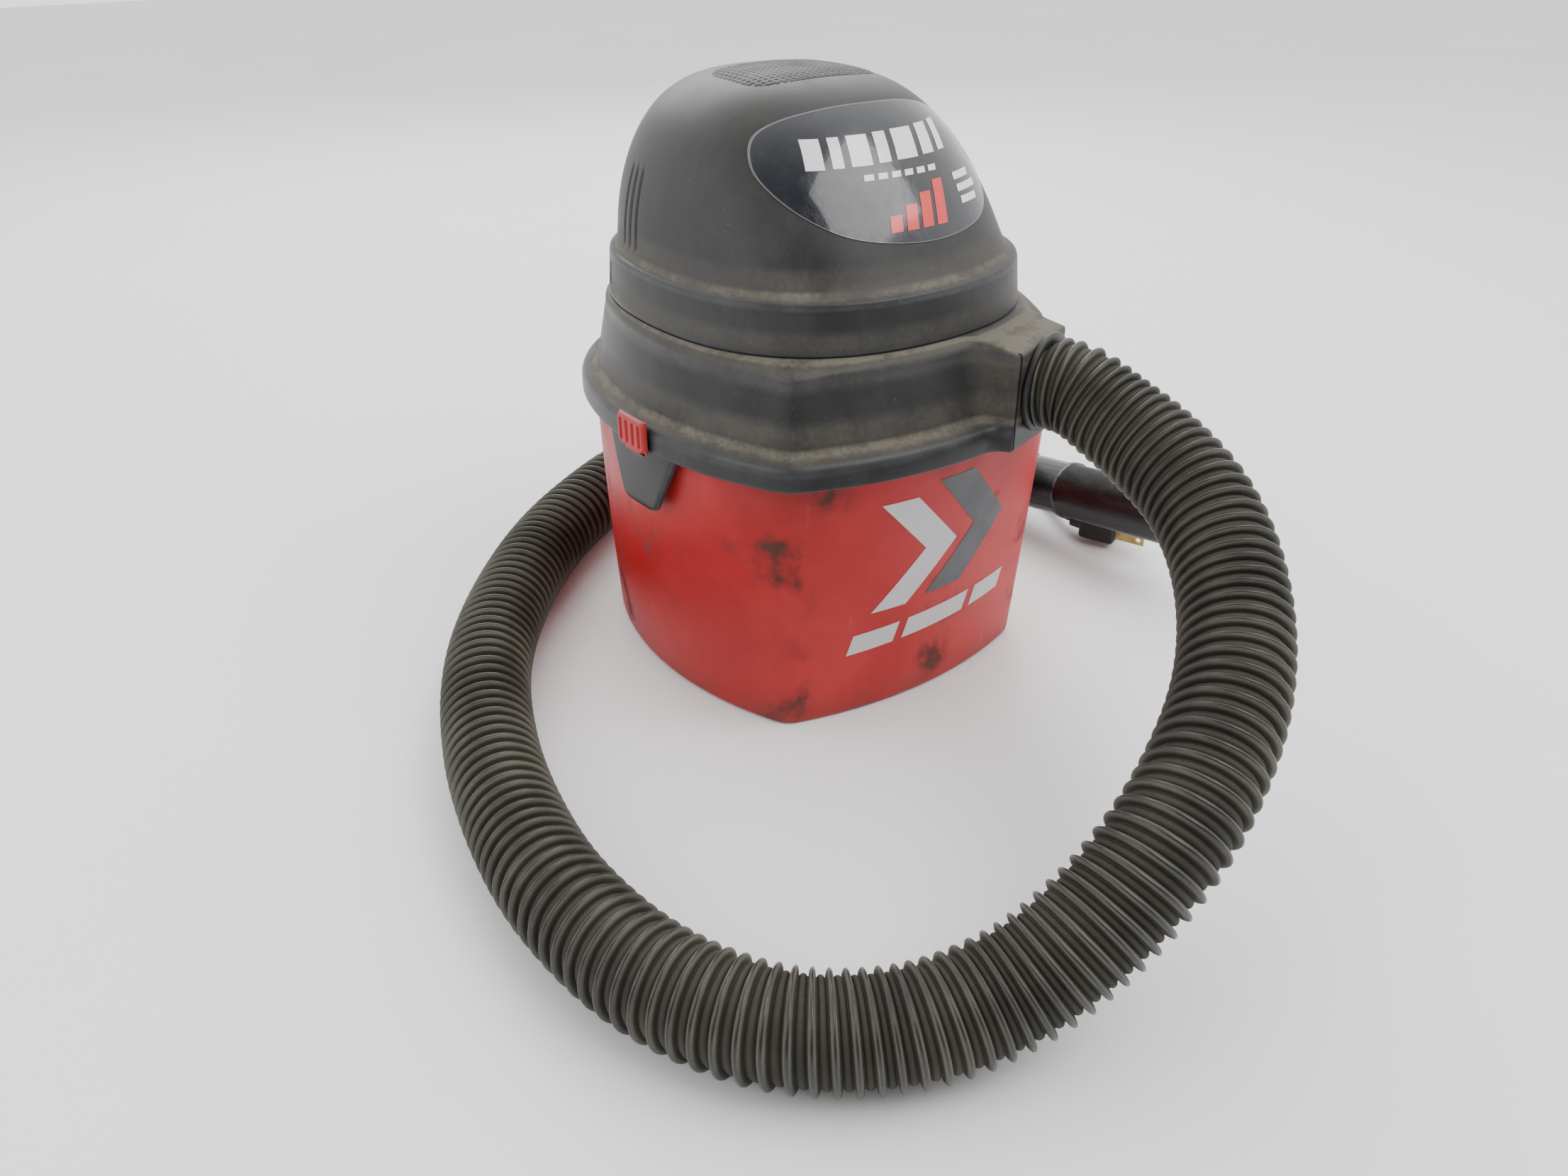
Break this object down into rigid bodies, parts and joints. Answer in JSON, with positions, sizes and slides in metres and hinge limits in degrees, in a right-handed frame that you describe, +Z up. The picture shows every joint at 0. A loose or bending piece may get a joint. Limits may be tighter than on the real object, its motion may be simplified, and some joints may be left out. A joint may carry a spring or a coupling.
{
  "type": "shop vacuum",
  "caption": "Small wet and dry shop vacuum: tapered tank, latched lid and domed motor head, ribbed hose with wand, mains cord and plug.",
  "frame": {"origin": "centre of the tank's flat underside, below the motor's axis, on the surface the vacuum stands on", "axes": "+Z up along the motor's shaft; -Y towards the front, which carries the round badge and the tank's graphic; +X to the right as seen from the front, the side of the hose boss"},
  "size_m": [0.4543, 0.5973, 0.2788],
  "materials": {
    "tank_red": "semi-gloss polyethylene, scuffed",
    "latch_red": "semi-gloss moulded plastic, dusty",
    "lid_black": "satin moulded plastic, dusty on ledges",
    "housing_black": "satin textured plastic, dusty",
    "cuff_black": "satin moulded plastic",
    "hose_black": "ribbed flexible plastic, dusty",
    "gloss_black": "high gloss extruded plastic",
    "cord_black": "flexible PVC",
    "switch_black": "gloss moulded plastic",
    "gasket": "matt rubber",
    "cage_grey": "satin moulded plastic",
    "fan_plastic": "satin moulded plastic",
    "float_white": "smooth moulded plastic",
    "foam": "open cell foam",
    "steel": "zinc plated",
    "aluminium": "pressed sheet",
    "copper": "enamelled copper wire",
    "brass": "tarnished brass",
    "laminations": "stacked steel sheet",
    "carbon": "graphite"
  },
  "bodies": {
    "tank": {"tank": "tank_red"},
    "head": {"lid": "lid_black", "lid_gasket": "gasket", "latch_pin_left": "steel", "latch_pin_right": "steel", "float_cage": "cage_grey", "cage_screw_1": "steel", "cage_screw_2": "steel", "cage_screw_3": "steel", "fan_shroud": "cage_grey", "motor_base": "cage_grey", "lower_bearing": "steel", "upper_bearing": "steel", "stator": "laminations", "field_coil_lower": "copper", "field_coil_upper": "copper", "brush_left": "carbon", "brush_right": "carbon", "brush_holder_left": "brass", "brush_holder_right": "brass", "upper_bracket": "cage_grey", "bracket_screw_1": "steel", "bracket_screw_2": "steel", "motor_housing": "housing_black", "housing_screw_1": "steel", "housing_screw_2": "steel", "housing_screw_3": "steel", "housing_screw_4": "steel", "switch_bezel": "switch_black", "strain_relief": "cord_black", "cord_from_head": "cord_black", "cord_coil": "cord_black", "cord_to_plug": "cord_black", "plug_body": "cord_black", "plug_blade_left": "brass", "plug_blade_right": "brass"},
    "rotor": {"motor_shaft": "steel", "armature": "laminations", "commutator": "copper", "impeller": "aluminium", "cooling_fan": "fan_plastic"},
    "float": {"float_ball": "float_white"},
    "filter": {"foam_sleeve": "foam", "sleeve_band": "gasket"},
    "latch_left": {"latch_left": "latch_red"},
    "latch_right": {"latch_right": "latch_red"},
    "rocker": {"switch_rocker": "switch_black"},
    "hose_set": {"hose_cuff": "cuff_black", "hose": "hose_black", "hose_end_cuff": "gloss_black"},
    "wand": {"wand": "gloss_black"}
  },
  "joints": [
    {"name": "head_lift", "type": "slide", "parent": "tank", "child": "head", "axis": [0, 0, 1], "range_m": [0, 0.15]},
    {"name": "rotor_spin", "type": "hinge", "parent": "head", "child": "rotor", "pos_m": [0, 0, 0.2], "axis": [0, 0, 1], "continuous": true},
    {"name": "float_rise", "type": "slide", "parent": "head", "child": "float", "axis": [0, 0, 1], "range_m": [0, 0.021]},
    {"name": "filter_off", "type": "slide", "parent": "head", "child": "filter", "axis": [0, 0, -1], "range_m": [0, 0.055]},
    {"name": "latch_left_swing", "type": "hinge", "parent": "head", "child": "latch_left", "pos_m": [-0.1078, -0.01261, 0.14], "axis": [-0.0611, 0.9981, 0], "range_deg": [0, 18]},
    {"name": "latch_right_swing", "type": "hinge", "parent": "head", "child": "latch_right", "pos_m": [0.1078, -0.01261, 0.14], "axis": [-0.0611, -0.9981, 0], "range_deg": [0, 18]},
    {"name": "switch_rock", "type": "hinge", "parent": "head", "child": "rocker", "pos_m": [0, 0.0961, 0.228], "axis": [1, 0, 0], "range_deg": [0, 16]},
    {"name": "hose_pull", "type": "slide", "parent": "head", "child": "hose_set", "axis": [0.342, -0.9397, 0], "range_m": [0, 0.018]},
    {"name": "wand_pull", "type": "slide", "parent": "hose_set", "child": "wand", "axis": [0.058, -0.987, 0.15], "range_m": [0, 0.03]}
  ]
}
